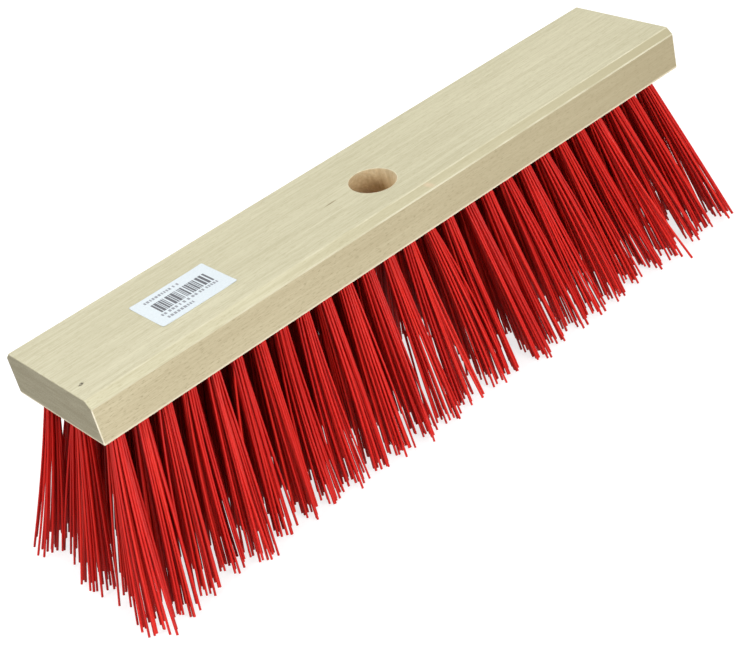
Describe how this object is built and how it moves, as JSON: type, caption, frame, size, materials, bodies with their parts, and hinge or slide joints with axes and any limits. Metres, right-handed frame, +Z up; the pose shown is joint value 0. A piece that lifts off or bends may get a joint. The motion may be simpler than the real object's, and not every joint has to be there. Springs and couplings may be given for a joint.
{
  "type": "push broom head",
  "caption": "Push broom head: a beech block with an inclined through hole for the handle, over fanned rows of red plastic bristle tufts.",
  "frame": {"origin": "middle of the level surface that the bristle tips stand on, under the block's centre", "axes": "+X along the block, with the label on the -X half; +Y towards the back, away from the person who pushes; the handle hole leans towards -Y going up; +Z up, bristles down"},
  "size_m": [0.445, 0.1204, 0.1213],
  "materials": {
    "beech_wood": "raw planed beech, matt, with fine flecks along the grain",
    "red_bristle": "semi-gloss extruded PVC monofilament",
    "label_paper": null,
    "anchor_wire": "tinned flat wire"
  },
  "bodies": {
    "root": {"head_block": "beech_wood", "barcode_label": "label_paper", "front_tuft_01": "red_bristle", "front_tuft_02": "red_bristle", "front_tuft_03": "red_bristle", "front_tuft_04": "red_bristle", "front_tuft_05": "red_bristle", "front_tuft_06": "red_bristle", "front_tuft_07": "red_bristle", "front_tuft_08": "red_bristle", "front_tuft_09": "red_bristle", "front_tuft_10": "red_bristle", "front_tuft_11": "red_bristle", "front_tuft_12": "red_bristle", "front_tuft_13": "red_bristle", "front_tuft_14": "red_bristle", "front_tuft_15": "red_bristle", "front_tuft_16": "red_bristle", "front_tuft_17": "red_bristle", "front_tuft_18": "red_bristle", "front_tuft_19": "red_bristle", "front_tuft_20": "red_bristle", "front_tuft_21": "red_bristle", "front_tuft_22": "red_bristle", "front_tuft_23": "red_bristle", "front_tuft_24": "red_bristle", "front_tuft_25": "red_bristle", "front_tuft_26": "red_bristle", "front_tuft_27": "red_bristle", "back_tuft_01": "red_bristle", "back_tuft_02": "red_bristle", "back_tuft_03": "red_bristle", "back_tuft_04": "red_bristle", "back_tuft_05": "red_bristle", "back_tuft_06": "red_bristle", "back_tuft_07": "red_bristle", "back_tuft_08": "red_bristle", "back_tuft_09": "red_bristle", "back_tuft_10": "red_bristle", "back_tuft_11": "red_bristle", "back_tuft_12": "red_bristle", "back_tuft_13": "red_bristle", "back_tuft_14": "red_bristle", "back_tuft_15": "red_bristle", "back_tuft_16": "red_bristle", "back_tuft_17": "red_bristle", "back_tuft_18": "red_bristle", "back_tuft_19": "red_bristle", "back_tuft_20": "red_bristle", "back_tuft_21": "red_bristle", "back_tuft_22": "red_bristle", "back_tuft_23": "red_bristle", "back_tuft_24": "red_bristle", "back_tuft_25": "red_bristle", "back_tuft_26": "red_bristle", "back_tuft_27": "red_bristle", "inner_tufts_left": "red_bristle", "inner_tufts_right": "red_bristle"}
  },
  "joints": []
}
